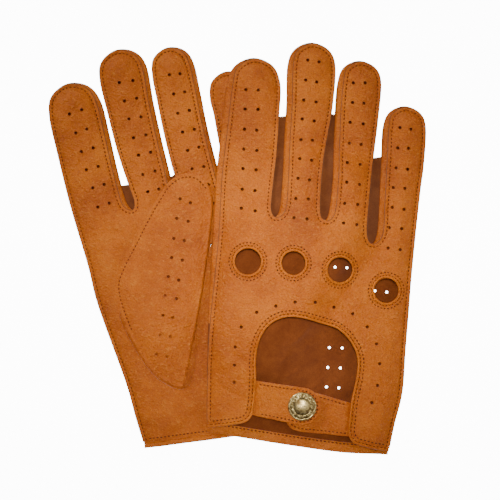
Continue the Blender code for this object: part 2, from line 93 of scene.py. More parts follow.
# Fingers: thumb-side knots, tip circle (x, y, radius) and other-side knots; a knot's third value
# is 1 where a fourchette lies under the edge
RIGHT_FINGERS = (
    ([(-49.9, 68.9, 0), (-47.6, 113.6, 0), (-45.5, 149.3, 0), (-42.4, 176.1, 0)],
     (-24.6, 200.0, 15.0),
     [(-10.3, 183.0, 1), (-11.6, 163.0, 1), (-14.2, 140.4, 1), (-14.9, 130.5, 1)]),
    ([(-10.3, 130.5, 1), (-8.7, 147.5, 1), (-7.6, 170.7, 1), (-6.4, 190.0, 1)],
     (7.7, 210.2, 13.6),
     [(19.7, 188.6, 1), (17.0, 172.5, 1), (13.8, 154.7, 1), (12.3, 129.7, 1)]),
    ([(16.9, 128.0, 1), (19.0, 145.0, 1), (20.0, 166.0, 1), (20.9, 186.0, 1)],
     (34.7, 201.5, 12.4),
     [(45.4, 182.0, 1), (43.8, 168.9, 1), (41.2, 148.0, 1), (38.6, 119.0, 1)]),
    ([(44.2, 116.5, 1), (45.5, 133.2, 1), (46.5, 151.1, 1), (47.1, 162.0, 1)],
     (60.1, 176.4, 12.2),
     [(71.2, 156.0, 0), (69.2, 140.4, 0), (66.4, 115.0, 0), (64.0, 90.4, 0)]),
)
LEFT_FINGERS = (
    ([(-52.6, 89.9, 0), (-51.5, 113.7, 0), (-51.2, 148.0, 0), (-49.6, 178.4, 0)],
     (-32.7, 199.5, 15.2),
     [(-18.4, 180.0, 1), (-19.7, 163.0, 1), (-20.3, 149.0, 1), (-20.0, 140.0, 1)]),
    ([(-16.0, 140.2, 1), (-16.4, 151.5, 1), (-16.8, 170.4, 1), (-15.9, 190.0, 1)],
     (-0.9, 211.0, 13.8),
     [(10.6, 190.1, 1), (9.1, 171.7, 1), (8.0, 153.3, 1), (7.4, 139.0, 1)]),
    ([(9.9, 138.0, 1), (10.1, 154.0, 1), (11.1, 172.0, 1), (12.7, 189.0, 1)],
     (26.6, 205.5, 12.2),
     [(37.5, 187.3, 1), (35.7, 169.2, 1), (34.6, 149.0, 1), (34.4, 130.0, 1)]),
    ([(38.0, 129.0, 1), (38.2, 148.0, 1), (39.6, 162.0, 1), (41.0, 174.0, 1)],
     (53.6, 183.2, 12.0),
     [(65.0, 160.0, 0), (65.0, 140.0, 0), (64.6, 115.0, 0), (63.6, 90.4, 0)]),
)
RIGHT_CROTCHES = ((-12.9, 126.2), (14.7, 124.6), (41.3, 111.4))
LEFT_CROTCHES = ((-18.0, 136.0), (8.7, 133.4), (36.2, 125.0))
THUMB_EDGE_OF_HAND = ((-50.8, 9.4), (-50.8, 24.3), (-50.4, 45.0))
LITTLE_EDGE_OF_HAND = ((62.6, 72.5), (60.8, 51.1), (59.0, 27.9), (54.5, 10.0), (51.6, -3.4))
HEM = ((-50.8, 6.1), (-31.2, 2.9), (-6.2, -1.2), (25.1, -5.5), (50.6, -6.9))
KNUCKLES = ((-27.8, 101.3, 7.4), (-2.6, 100.4, 6.7), (23.3, 96.6, 7.1), (49.6, 85.0, 7.1))
FINGER_NAMES = ("index", "middle", "ring", "little")
SLIT_NAMES = [f"{a}_{b}" for a, b in zip(FINGER_NAMES, FINGER_NAMES[1:])]
DOME = ((-50.3, 8.5), (-40.5, 10.0), (-31.5, 11.3), (-27.0, 13.8), (-24.8, 19.5), (-23.5, 35.0),
        (-23.5, 47.5), (-21.3, 58.2), (-16.0, 66.3), (-8.0, 70.4), (1.0, 70.4), (11.7, 67.4),
        (22.4, 63.6), (29.5, 56.4), (33.3, 47.5), (32.8, 36.8), (30.2, 25.2), (28.8, 14.5),
        (28.2, 5.5), (31.0, 0.4), (36.5, -1.6), (43.0, -3.4), (50.9, -5.0))
THUMB_OUTLINE = ((-21.9, 33.2), (-31.1, 42.1), (-36.5, 55.0), (-40.0, 71.0), (-41.0, 86.2),
                 (-39.4, 98.8), (-32.5, 108.2), (-22.9, 118.0), (-13.2, 128.2), (-2.7, 138.0),
                 (5.8, 144.6), (14.8, 146.7), (22.8, 143.3), (26.9, 135.5), (26.4, 127.0),
                 (22.1, 115.5), (13.3, 95.8), (3.1, 74.6), (-8.0, 53.7), (-17.0, 37.4))
UPPER_TAB_ROOT = ((-22.9, 35.0), (-23.0, 26.0), (-23.9, 15.4))
UNDER_TAB = ((29.6, 22.4), (11.7, 27.5), (2.4, 29.4), (-5.4, 26.6), (-8.4, 18.6), (-5.2, 9.6),
             (0.5, 6.6), (11.7, 5.4), (28.4, 3.8))

# Perforations: columns of pairs as (first pair, last pair, rows), and single holes
HOLE_RADIUS = 0.95
HIDDEN_HOLE_RADIUS = 0.75
RIGHT_BACK_PAIRS = (
    (((-29.0, 197.0), (-22.1, 196.8)), ((-31.7, 130.6), (-24.0, 129.5)), 7),
    (((5.4, 213.4), (11.7, 212.3)), ((-2.1, 125.2), (4.7, 124.7)), 9),
    (((31.3, 201.3), (37.8, 200.9)), ((25.1, 122.5), (32.6, 121.6)), 8),
    (((57.4, 176.3), (63.3, 175.6)), ((50.4, 108.8), (57.4, 108.1)), 7),
)
RIGHT_PALM_PAIRS = (
    (((-29.3, 191.5), (-22.4, 191.3)), ((-31.5, 136.1), (-24.4, 135.4)), 6),
    (((5.0, 207.9), (11.4, 206.8)), ((-1.6, 141.7), (5.2, 141.2)), 7),
    (((31.0, 195.7), (37.5, 195.3)), ((21.0, 97.9), (27.8, 97.5)), 10),
    (((20.3, 86.7), (27.1, 86.3)), ((18.9, 69.3), (25.9, 69.0)), 2),
    (((17.9, 53.2), (24.8, 52.9)), ((16.3, 30.9), (23.3, 30.6)), 3),
    (((57.0, 171.7), (62.9, 171.0)), ((43.8, 84.5), (50.4, 84.1)), 9),
)
LEFT_PALM_PAIRS = (
    (((-36.0, 197.3), (-29.2, 197.5)), ((-36.1, 143.0), (-29.4, 143.0)), 6),
    (((-4.2, 206.1), (3.0, 205.2)), ((-7.1, 142.7), (-0.4, 142.6)), 7),
    (((23.5, 201.9), (29.5, 201.2)), ((19.0, 126.3), (25.9, 126.1)), 8),
    (((18.7, 115.0), (25.4, 114.8)), ((16.3, 59.8), (23.3, 59.5)), 6),
    (((50.6, 180.2), (56.6, 179.8)), ((44.8, 103.6), (51.6, 103.2)), 8),
)
LEFT_BACK_PAIRS = (
    (((-36.0, 191.9), (-29.2, 192.1)), ((-34.6, 126.7), (-27.8, 126.3)), 7),
    (((-4.2, 211.4), (3.0, 210.6)), ((-6.0, 126.8), (0.8, 126.4)), 9),
    (((23.5, 196.5), (29.5, 195.9)), ((19.6, 120.9), (26.4, 120.3)), 8),
    (((50.6, 174.7), (56.6, 174.2)), ((48.0, 109.0), (55.0, 108.4)), 7),
)
THUMB_PAIRS = ((((9.1, 133.5), (14.4, 130.0)), ((-28.4, 54.6), (-23.2, 51.7)), 9),)
DOME_HOLES = ((-35.5, 34.1), (-35.3, 43.8), (-34.9, 53.9), (-31.5, 65.0), (-23.0, 73.2),
              (-12.4, 76.6), (-1.7, 78.8), (9.5, 78.6), (20.1, 75.7), (30.6, 72.0),
              (38.8, 64.7), (44.0, 55.2), (45.8, 44.1), (44.5, 32.0), (41.3, 22.5))

# How a panel's soft surface leaves its seam
FLANGE = 2.3
RISE_LENGTH = 8.5
STRIP_RIGHT = 3.2  # fourchette leather showing past the upper panel's cut edge
STRIP_LEFT = 2.4
WRAP_RISE = 1.1
SEAM_IN = 2.1  # from cut edge to stitch line
PITCH = 2.15
GRID = 1.25
LINE_STEP = 1.4
BANDS = (0.34, 0.8, 1.4, 2.1, 2.9, 3.8)  # distances in from an outline of its rings of points
FORK_SHOWS = 0.35  # panels this far apart have a strip between them
FORK_SAMPLES = 6
FORK_CLEARANCE = 0.48
FORK_LEAST = 0.12
FORK_HEM = 2.6
FORK_BEND = 68
FORK_HALF = 0.36
WEB_HALF = 0.4
TUCK = 1.7  # how deep a strap's root is tucked under its cuff leg
FOLD_VALLEY = ((14.0, 76.0), (50.0, 64.0))


# Curves in the plane


def smooth(u):
    u = np.clip(u, 0.0, 1.0)
    return u * u * (3 - 2 * u)


def spline(knots, step=LINE_STEP, closed=False):
    """Points along a Catmull-Rom curve through the knots, about a step apart."""
    knots = [np.array(k, float) for k in knots]
    count = len(knots)
    points = []
    for i in range(count if closed else count - 1):
        a, b = knots[i], knots[(i + 1) % count]
        before = knots[i - 1] if closed or i > 0 else 2 * a - b
        after = knots[(i + 2) % count] if closed or i + 2 < count else 2 * b - a
        pieces = max(1, round(np.linalg.norm((b - a)[:2]) / step))
        t = (np.arange(pieces) / pieces)[:, None]
        points.append(
            0.5 * (2 * a + (b - before) * t + (2 * before - 5 * a + 4 * b - after) * t * t
                   + (3 * a - before - 3 * b + after) * t ** 3)
        )
    if not closed:
        points.append(knots[-1][None, :])
    return np.vstack(points)


def resample(line, pitch, closed=False):
    """Points spaced evenly along a line, about a pitch apart."""
    line = np.array(line, float)
    if closed:
        line = np.vstack([line, line[:1]])
    run = np.r_[0, np.cumsum(np.linalg.norm(np.diff(line[:, :2], axis=0), axis=1))]
    count = max(1, round(run[-1] / pitch))
    at = np.linspace(0, run[-1], count + 1)
    at = at[:-1] if closed else at
    return np.stack([np.interp(at, run, line[:, k]) for k in range(line.shape[1])], axis=1)


def circle(x, y, radius_x, radius_y=None, sides=10, phase=0.0):
    turn = 2 * np.pi * (np.arange(sides) + phase) / sides
    return np.stack([x + radius_x * np.cos(turn), y + (radius_y or radius_x) * np.sin(turn)], axis=1)


def unit(along):
    return along / np.maximum(np.linalg.norm(along, axis=1), 1e-9)[:, None]


def normals(line, closed=False):
    """The unit normal at each point, to the left of the way the line runs."""
    line = np.array(line, float)[:, :2]
    if closed:
        along = np.roll(line, -1, axis=0) - np.roll(line, 1, axis=0)
    else:
        along = np.gradient(line, axis=0)
    along = unit(along)
    return np.stack([-along[:, 1], along[:, 0]], axis=1)


def offset(line, distance, closed=False):
    """The line moved to its left by the distance, which may differ from point to point."""
    line = np.array(line, float)[:, :2]
    return line + normals(line, closed) * np.reshape(distance, (-1, 1))


def distances(points, line, closed=False):
    """For each point, its distance to the line and where along it (segment, share) it is nearest."""
    line = np.array(line, float)[:, :2]
    ends = np.roll(line, -1, axis=0) if closed else line[1:]
    starts = line if closed else line[:-1]
    along = ends - starts
    length2 = np.maximum((along ** 2).sum(axis=1), 1e-12)
    found = []
    for chunk in np.array_split(np.array(points, float), max(1, len(points) // 1500)):
        x = chunk[:, 0, None] - starts[:, 0]
        y = chunk[:, 1, None] - starts[:, 1]
        share = np.clip((x * along[:, 0] + y * along[:, 1]) / length2, 0, 1)
        gaps = (x - share * along[:, 0]) ** 2 + (y - share * along[:, 1]) ** 2
        nearest = gaps.argmin(axis=1)
        rows = np.arange(len(nearest))
        found.append((np.sqrt(gaps[rows, nearest]), nearest, share[rows, nearest]))
    return [np.concatenate(column) for column in zip(*found)]


def turns_clockwise(loop):
    following = np.roll(loop, -1, axis=0)
    return ((following[:, 0] - loop[:, 0]) * (following[:, 1] + loop[:, 1])).sum() > 0


def clockwise(loop):
    """The closed loop, turned round if it runs the other way."""
    return loop if turns_clockwise(loop) else loop[::-1]


def inside(points, loop):
    """Which points lie inside the closed loop."""
    loop = np.array(loop, float)[:, :2]
    following = np.roll(loop, -1, axis=0)
    rise = np.where(following[:, 1] == loop[:, 1], 1.0, following[:, 1] - loop[:, 1])
    lean = (following - loop)[:, 0] / rise
    found = []
    for chunk in np.array_split(np.array(points, float), max(1, len(points) // 1500)):
        y = chunk[:, 1, None]
        crosses = (loop[:, 1] > y) != (following[:, 1] > y)
        x = loop[:, 0] + (y - loop[:, 1]) * lean
        found.append((crosses & (chunk[:, 0, None] < x)).sum(axis=1) % 2 == 1)
    return np.concatenate(found)


def waves(points, seed, angle, across, along):
    """Smooth noise in [-1, 1], drawn out along a direction, at places in a glove's frame."""
    c, s = math.cos(math.radians(angle)), math.sin(math.radians(angle))
    u = (points[:, 0] * c + points[:, 1] * s) / along
    v = (points[:, 1] * c - points[:, 0] * s) / across
    return np.array([noise.noise(Vector((a, b, seed))) for a, b in zip(u, v)])


# Where a glove lies


def drape(x, y):
    """Height of what the right glove lies on: the left glove, and the table past its edge."""
    share = (y - DRAPE_FOOT[1]) / (DRAPE_TOP[1] - DRAPE_FOOT[1])
    start = DRAPE_FOOT[0] + (DRAPE_TOP[0] - DRAPE_FOOT[0]) * share
    return LIFT * (1 - smooth((x - start) / (DRAPE_END - start)))


def thumb_thickness(y):
    return THUMB_THICK * (HEEL_SHARE + (1 - HEEL_SHARE) * smooth((y - HEEL_FROM) / HEEL_LENGTH))


def hump(x, y):
    """How far the folded thumb raises the right glove, at a place in the glove's frame."""
    away = distances(np.stack([x, y], axis=1), HUMP_LINE)[0] - HUMP_RADIUS
    return (thumb_thickness(y) + THUMB_ROOM) * (1 - smooth(away / HUMP_FALL))


def place_left(p):
    c, s = math.cos(LEFT_TURN), math.sin(LEFT_TURN)
    x, y, z = p.T
    return np.stack([LEFT_CUFF[0] + x * c - y * s, LEFT_CUFF[1] + x * s + y * c, THICK - z], axis=1)


def place_draped(p, raised):
    """On the left glove and the table, and higher by what raised gives at each place."""
    x, y, z = p.T
    pair_x, pair_y = x + RIGHT_CUFF[0], y + RIGHT_CUFF[1]
    return np.stack([pair_x, pair_y, z + drape(pair_x, pair_y) + raised(x, y)], axis=1)


def place_right(p):
    return place_draped(p, hump)


def place_right_thumb(p):
    return place_draped(p, lambda x, y: thumb_thickness(y) + 2 * GAP)


def find_shift():
    """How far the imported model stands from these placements, from where its snap cap is."""
    low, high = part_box("left_snap_cap")
    centre = np.array((low + high) / 2) / MM
    drawn = place_left(np.array([[*SNAP, 0.0]]))[0]
    return np.array((centre[0] - drawn[0], centre[1] - drawn[1], 0.0))


SHIFT = find_shift()


# Materials


def shader_of(name):
    """A new material, its node tree and its shader."""
    made = bpy.data.materials.new(name)
    made.use_nodes = True
    return made, made.node_tree, made.node_tree.nodes["Principled BSDF"]


def settings(node, values):
    for name, value in values.items():
        node.inputs[name].default_value = value


def coords(tree):
    return tree.nodes.new("ShaderNodeTexCoord").outputs["Object"]


def roughen(tree, shader, height, strength, depth):
    """A bump on the shader, from a height field and a depth in metres."""
    bump = tree.nodes.new("ShaderNodeBump")
    settings(bump, {"Strength": strength, "Distance": depth})
    tree.links.new(height, bump.inputs["Height"])
    tree.links.new(bump.outputs["Normal"], shader.inputs["Normal"])


def noise_node(tree, vector, scale, detail=4.0, roughness=0.55, stretch=None, turn=0.0):
    if stretch:
        mapping = tree.nodes.new("ShaderNodeMapping")
        settings(mapping, {"Scale": stretch, "Rotation": (0, 0, math.radians(turn))})
        tree.links.new(vector, mapping.inputs["Vector"])
        vector = mapping.outputs["Vector"]
    made = tree.nodes.new("ShaderNodeTexNoise")
    settings(made, {"Scale": scale, "Detail": detail, "Roughness": roughness})
    tree.links.new(vector, made.inputs["Vector"])
    return made.outputs["Fac"]


def ramp(tree, factor, stops):
    made = tree.nodes.new("ShaderNodeValToRGB")
    elements = made.color_ramp.elements
    for k, (place, colour) in enumerate(stops):
        element = elements[k] if k < 2 else elements.new(place)
        element.position = place
        element.color = (*colour, 1.0)
    tree.links.new(factor, made.inputs["Fac"])
    return made.outputs["Color"]


def mixed(tree, factor, a, b, blend="MIX"):
    made = tree.nodes.new("ShaderNodeMix")
    made.data_type = "RGBA"
    made.blend_type = blend
    if isinstance(factor, float):
        made.inputs[0].default_value = factor
    else:
        tree.links.new(factor, made.inputs[0])
    for socket, value in ((6, a), (7, b)):
        if isinstance(value, tuple):
            made.inputs[socket].default_value = (*value, 1.0)
        else:
            tree.links.new(value, made.inputs[socket])
    return made.outputs[2]


def scalar(tree, operation, a, b):
    made = tree.nodes.new("ShaderNodeMath")
    made.operation = operation
    for socket, value in ((0, a), (1, b)):
        if isinstance(value, (int, float)):
            made.inputs[socket].default_value = value
        else:
            tree.links.new(value, made.inputs[socket])
    return made.outputs[0]


def leather_material(name, dark, base, light, highlight_colour, rough=0.52):
    """Tanned hide: cloudy colour, fine pebbled grain and drawn-out wrinkles, with painted highlights:
    pale flecks and pale streaks painted into the colour.
    """
    made, tree, shader = shader_of(name)
    vector = coords(tree)
    cloud = noise_node(tree, vector, 34.0, 5.0, 0.6)
    colour = ramp(tree, cloud, ((0.30, dark), (0.52, base), (0.74, light)))
    # Painted highlight: pale streaks along the drawn-out wrinkles, mixed towards the highlight colour;
    # the same noise also bumps the surface as real wrinkles.
    streak = noise_node(tree, vector, 170.0, 5.0, 0.65, stretch=(1.0, 1.7, 1.0), turn=38.0)
    streak_highlights = ramp(tree, streak, ((0.50, (0, 0, 0)), (0.78, (1, 1, 1))))
    colour = mixed(tree, scalar(tree, "MULTIPLY", streak_highlights, 0.16), colour, highlight_colour)
    pebble = tree.nodes.new("ShaderNodeTexVoronoi")
    pebble.feature = "SMOOTH_F1"
    pebble.inputs["Scale"].default_value = 950.0
    tree.links.new(vector, pebble.inputs["Vector"])
    fine = noise_node(tree, vector, 1500.0, 3.0, 0.6)
    grain = noise_node(tree, vector, 620.0, 5.0, 0.62, stretch=(1.0, 1.5, 1.0), turn=30.0)
    # Painted highlights: pale flecks mixed into the colour where the grain noise is high, standing for
    # glints of light on the pebbled grain.
    painted_highlight_flecks = ramp(tree, grain, ((0.54, (0, 0, 0)), (0.72, (1, 1, 1))))
    colour = mixed(tree, scalar(tree, "MULTIPLY", painted_highlight_flecks, 0.50), colour, highlight_colour)
    pores = ramp(tree, fine, ((0.34, (0.62, 0.54, 0.46)), (0.52, (1, 1, 1))))
    colour = mixed(tree, 0.7, colour, pores, "MULTIPLY")
    tree.links.new(colour, shader.inputs["Base Color"])
    roughness = ramp(tree, grain, ((0.3, (rough - 0.08,) * 3), (0.75, (rough + 0.12,) * 3)))
    tree.links.new(roughness, shader.inputs["Roughness"])
    shader.inputs["Specular IOR Level"].default_value = 0.24
    pebbles = scalar(tree, "MULTIPLY", pebble.outputs["Distance"], 0.8)
    height = scalar(tree, "ADD", pebbles, scalar(tree, "MULTIPLY", grain, 1.2))
    height = scalar(tree, "ADD", height, scalar(tree, "MULTIPLY", streak, 1.1))
    roughen(tree, shader, height, 1.0, 0.0006)
    return made


def suede_material(name, dark, light):
    """The flesh side of the hide: matt, with a short mottled nap."""
    made, tree, shader = shader_of(name)
    vector = coords(tree)
    nap = noise_node(tree, vector, 90.0, 6.0, 0.7)
    fuzz = noise_node(tree, vector, 1800.0, 2.0, 0.5)
    colour = ramp(tree, nap, ((0.35, dark), (0.7, light)))
    speck = ramp(tree, fuzz, ((0.3, (0.7, 0.66, 0.6)), (0.7, (1.0, 1.0, 1.0))))
    tree.links.new(mixed(tree, 0.8, colour, speck, "MULTIPLY"), shader.inputs["Base Color"])
    settings(shader, {"Roughness": 0.95, "Specular IOR Level": 0.2, "Sheen Weight": 0.25})
    roughen(tree, shader, fuzz, 0.6, 0.0002)
    return made


def thread_material():
    """Waxed sewing thread: plied ridges across a brown strand, coloured dark brown as painted shade of
    its sunken stitch dimples.
    """
    made, tree, shader = shader_of("thread")
    vector = coords(tree)
    tone = noise_node(tree, vector, 700.0, 2.0)
    # Painted shade: the tan-brown thread is coloured dark brown to stand for the shade in its needle
    # holes and dimples.
    colour = ramp(tree, tone, ((0.3, (0.055, 0.013, 0.002)), (0.7, (0.11, 0.027, 0.004))))
    tree.links.new(colour, shader.inputs["Base Color"])
    settings(shader, {"Roughness": 0.7, "Specular IOR Level": 0.15})
    wave = tree.nodes.new("ShaderNodeTexWave")
    wave.inputs["Scale"].default_value = 2600.0
    tree.links.new(vector, wave.inputs["Vector"])
    roughen(tree, shader, wave.outputs["Color"], 0.4, 0.0001)
    return made


def brass_material(name, worn, patina, rough):
    """Antiqued brass: bright where it is rubbed, brown where the patina stays."""
    made, tree, shader = shader_of(name)
    vector = coords(tree)
    tone = noise_node(tree, vector, 420.0, 6.0, 0.65)
    colour = ramp(tree, tone, ((0.38, patina), (0.62, worn)))
    tree.links.new(colour, shader.inputs["Base Color"])
    shader.inputs["Metallic"].default_value = 1.0
    fine = noise_node(tree, vector, 2400.0, 3.0)
    tree.links.new(ramp(tree, tone, ((0.35, (rough + 0.18,) * 3), (0.65, (rough,) * 3))),
              shader.inputs["Roughness"])
    roughen(tree, shader, fine, 0.25, 0.00006)
    return made


# The last colour given to each leather is the pale colour of its painted highlights.
HIDE = leather_material("tan_leather", (0.36, 0.068, 0.001), (0.50, 0.107, 0.001),
                        (0.61, 0.148, 0.003), (0.74, 0.26, 0.040))
BINDING = leather_material("binding_leather", (0.43, 0.086, 0.001), (0.55, 0.126, 0.003),
                           (0.64, 0.160, 0.004), (0.72, 0.24, 0.03), rough=0.42)
# Painted shade: the slit webs get a suede darker than the inside suede, standing for the shade deep in
# the slits between the fingers.
SHADED_WEB = suede_material("slit_web_painted_shade", (0.13, 0.032, 0.006), (0.20, 0.055, 0.011))
SUEDE = suede_material("suede_inside", (0.17, 0.036, 0.005), (0.25, 0.06, 0.009))
RAW_EDGE = suede_material("raw_edge", (0.13, 0.045, 0.014), (0.24, 0.09, 0.032))
SHADED_THREAD = thread_material()
BRASS = brass_material("antique_brass", (0.52, 0.38, 0.15), (0.10, 0.06, 0.02), 0.24)
STEEL = brass_material("plain_brass", (0.52, 0.40, 0.18), (0.30, 0.21, 0.08), 0.26)
SKIN_MATERIALS = (HIDE, SUEDE, RAW_EDGE)


# Meshes


def finish_mesh(name, points, faces, kinds, materials, sharp=40.0, flip=False):
    """An object from row-frame points in millimetres."""
    mesh = bpy.data.meshes.new(name)
    loops = [face[::-1] for face in faces] if flip else faces
    mesh.from_pydata(((np.array(points) + SHIFT) * MM).tolist(), [], loops)
    for item in materials:
        mesh.materials.append(item)
    mesh.polygons.foreach_set("material_index", np.array(kinds, np.int32))
    mesh.validate()
    mesh.shade_smooth()
    mesh.set_sharp_from_angle(angle=math.radians(sharp))
    made = bpy.data.objects.new(name, mesh)
    bpy.context.scene.collection.objects.link(made)
    return made


def extent(hole):
    """A hole's centre and its furthest point's distance from it."""
    centre = hole.mean(axis=0)
    return centre, np.linalg.norm(hole - centre, axis=1).max()


def fill(outline, holes=(), bands=BANDS, grid=GRID):
    """Triangles over the region inside the outline and outside the holes: points, triangles, border."""
    outline = clockwise(np.array(outline, float)[:, :2])
    extra = []
    for distance in bands:
        ring = offset(outline, -distance, closed=True)
        extra.append(ring[distances(ring, outline, True)[0] > 0.97 * distance])
    low, high = outline.min(axis=0), outline.max(axis=0)
    rows = []
    for row, y in enumerate(np.arange(low[1], high[1], grid * 0.87)):
        x = np.arange(low[0] + grid / 2 * (row % 2), high[0], grid)
        rows.append(np.stack([x, np.full(len(x), y)], axis=1))
    middle = np.vstack(rows)
    middle = middle[distances(middle, outline, True)[0] > (bands[-1] if bands else 0) + grid * 0.55]
    places = np.vstack([*extra, middle])
    places = places[inside(places, outline)]
    for hole in holes:
        centre, reach = extent(hole)
        near = np.linalg.norm(places - centre, axis=1) < reach + 1.5
        blocked = np.zeros(len(places), bool)
        if near.any():
            spots = places[near]
            blocked[near] = inside(spots, hole) | (distances(spots, hole, True)[0] < 0.75)
        places = places[~blocked]
        wide = offset(hole, -0.5, closed=True)
        places = np.vstack([places, wide[inside(wide, outline)]])
    points, edges = [], []
    for loop in [outline, *holes]:
        start, count = len(points), len(loop)
        points += [Vector(p) for p in loop[:, :2]]
        edges += [(start + k, start + (k + 1) % count) for k in range(count)]
    points += [Vector(p) for p in places]
    flat, _, faces, *_ = delaunay_2d_cdt(points, edges, [], 0, 1e-4)
    flat = np.array([tuple(p) for p in flat])
    faces = np.array(faces)
    centres = flat[faces].mean(axis=1)
    keep = inside(centres, outline)
    for hole in holes:
        centre, reach = extent(hole)
        near = keep & (np.linalg.norm(centres - centre, axis=1) < reach)
        if near.any():
            keep[near] &= ~inside(centres[near], hole)
    faces = faces[keep]
    used = np.unique(faces)
    renumber = np.full(len(flat), -1)
    renumber[used] = np.arange(len(used))
    flat, faces = flat[used], renumber[faces]
    directed = {(int(f[k]), int(f[(k + 1) % 3])) for f in faces for k in range(3)}
    border = [(a, b) for a, b in directed if (b, a) not in directed]
    return flat, faces, sorted(border)


def skin(name, region, high, low, placement, outer_is_high, mirrored, rim=None):
    """A sheet of leather between two heights: grain outside, suede inside, raw at its cut edges."""
    flat, faces, border = region
    count = len(flat)
    upper = placement(np.column_stack([flat, high]))
    lower = placement(np.column_stack([flat, low]))
    loops = faces.tolist()
    loops += (faces[:, ::-1] + count).tolist()
    loops += [[b, a, a + count, b + count] for a, b in border]
    centres = flat[faces].mean(axis=1)
    raw = np.zeros(len(faces), bool)
    if rim is not None:
        raw = distances(centres, rim)[0] < 0.32
    grain = np.where(raw, 2, 0).tolist()
    kinds = grain + [1] * len(faces) if outer_is_high else [1] * len(faces) + grain
    kinds += [2] * len(border)
    return finish_mesh(name, np.vstack([upper, lower]), loops, kinds, SKIN_MATERIALS, flip=mirrored)


def swept(name, rows, placement, material, closed, mirrored, kinds=None, sharp=50.0):
    """A solid through cross-sections: rows is an array (sections, points, xyz), each a closed loop."""
    sections, count, _ = rows.shape
    points = placement(rows.reshape(-1, 3))
    loops = []
    for k in range(sections if closed else sections - 1):
        here, there = k * count, (k + 1) % sections * count
        for j in range(count):
            nxt = (j + 1) % count
            loops.append([here + j, there + j, there + nxt, here + nxt])
    if not closed:
        loops.append(list(range(count)))
        loops.append([(sections - 1) * count + j for j in range(count)][::-1])
    materials = material if isinstance(material, tuple) else (material,)
    kinds = kinds or [0] * len(loops)
    return finish_mesh(name, points, loops, kinds, materials, sharp, mirrored)


def facing(panel):
    return 1.0 if panel == "back" else -1.0


class Stitches:
    """Stitches of one glove that ride on one body, gathered into one mesh."""

    STATIONS = np.array((-0.5, -0.34, 0.0, 0.34, 0.5))
    SIZES = np.array((0.45, 0.9, 1.0, 0.9, 0.45))
    LIFTS = np.array((-0.22, 0.0, 0.09, 0.0, -0.22))
    SIDES = 6

    def __init__(self, placement):
        self.placement = placement
        self.points, self.loops, self.count = [], [], 0

    def add(self, line, height, sign=1.0, pitch=PITCH, length=1.45, radius=0.34, sink=0.0, closed=False):
        """Stitches along a line. height gives the leather's face, and sign the way it looks."""
        spots = resample(line, pitch, closed)
        if closed:
            middles = (spots + np.roll(spots, -1, axis=0)) / 2
            along = np.roll(spots, -1, axis=0) - spots
        else:
            middles = (spots[1:] + spots[:-1]) / 2
            along = spots[1:] - spots[:-1]
        along = unit(along)
        across = np.stack([-along[:, 1], along[:, 0]], axis=1)
        ends = [height(middles + along * length * side) for side in (-0.5, 0.5)]
        turn = 2 * np.pi * np.arange(self.SIDES) / self.SIDES
        for station, size, lift in zip(self.STATIONS, self.SIZES, self.LIFTS):
            base = ends[0] + (ends[1] - ends[0]) * (station + 0.5)
            for a in turn:
                xy = middles + along * length * station + across * radius * size * math.cos(a)
                z = base + sign * (lift - sink) + radius * size * 0.9 * math.sin(a)
                self.points.append(np.column_stack([xy, z]))
        per = len(self.STATIONS) * self.SIDES
        block = np.array(self.points[-per:]).transpose(1, 0, 2).reshape(-1, 3)
        self.points[-per:] = [block]
        template = []
        for k in range(len(self.STATIONS) - 1):
            for j in range(self.SIDES):
                nxt = (j + 1) % self.SIDES
                here, there = k * self.SIDES, (k + 1) * self.SIDES
                template.append([here + j, here + nxt, there + nxt, there + j])
        last = (len(self.STATIONS) - 1) * self.SIDES
        template.append(list(range(self.SIDES))[::-1])
        template.append([last + j for j in range(self.SIDES)])
        for n in range(len(middles)):
            start = self.count + n * per
            self.loops += [[start + v for v in face] for face in template]
        self.count += per * len(middles)

    def build(self, name, mirrored):
        points = self.placement(np.vstack(self.points))
        points[:, 2] = np.maximum(points[:, 2], 0.0)
        kinds = [0] * len(self.loops)
        return finish_mesh(name, points, self.loops, kinds, (SHADED_THREAD,), 70.0, not mirrored)


def columns(pairs):
    """Hole centres of columns of pairs."""
    found = []
    for first, last, rows in pairs:
        for k in range(rows):
            share = k / (rows - 1)
            for a, b in zip(first, last):
                x, y = np.array(a) + (np.array(b) - np.array(a)) * share
                found.append((x + 0.25 * math.sin(17 * y), y + 0.25 * math.sin(11 * x + y)))
    return found


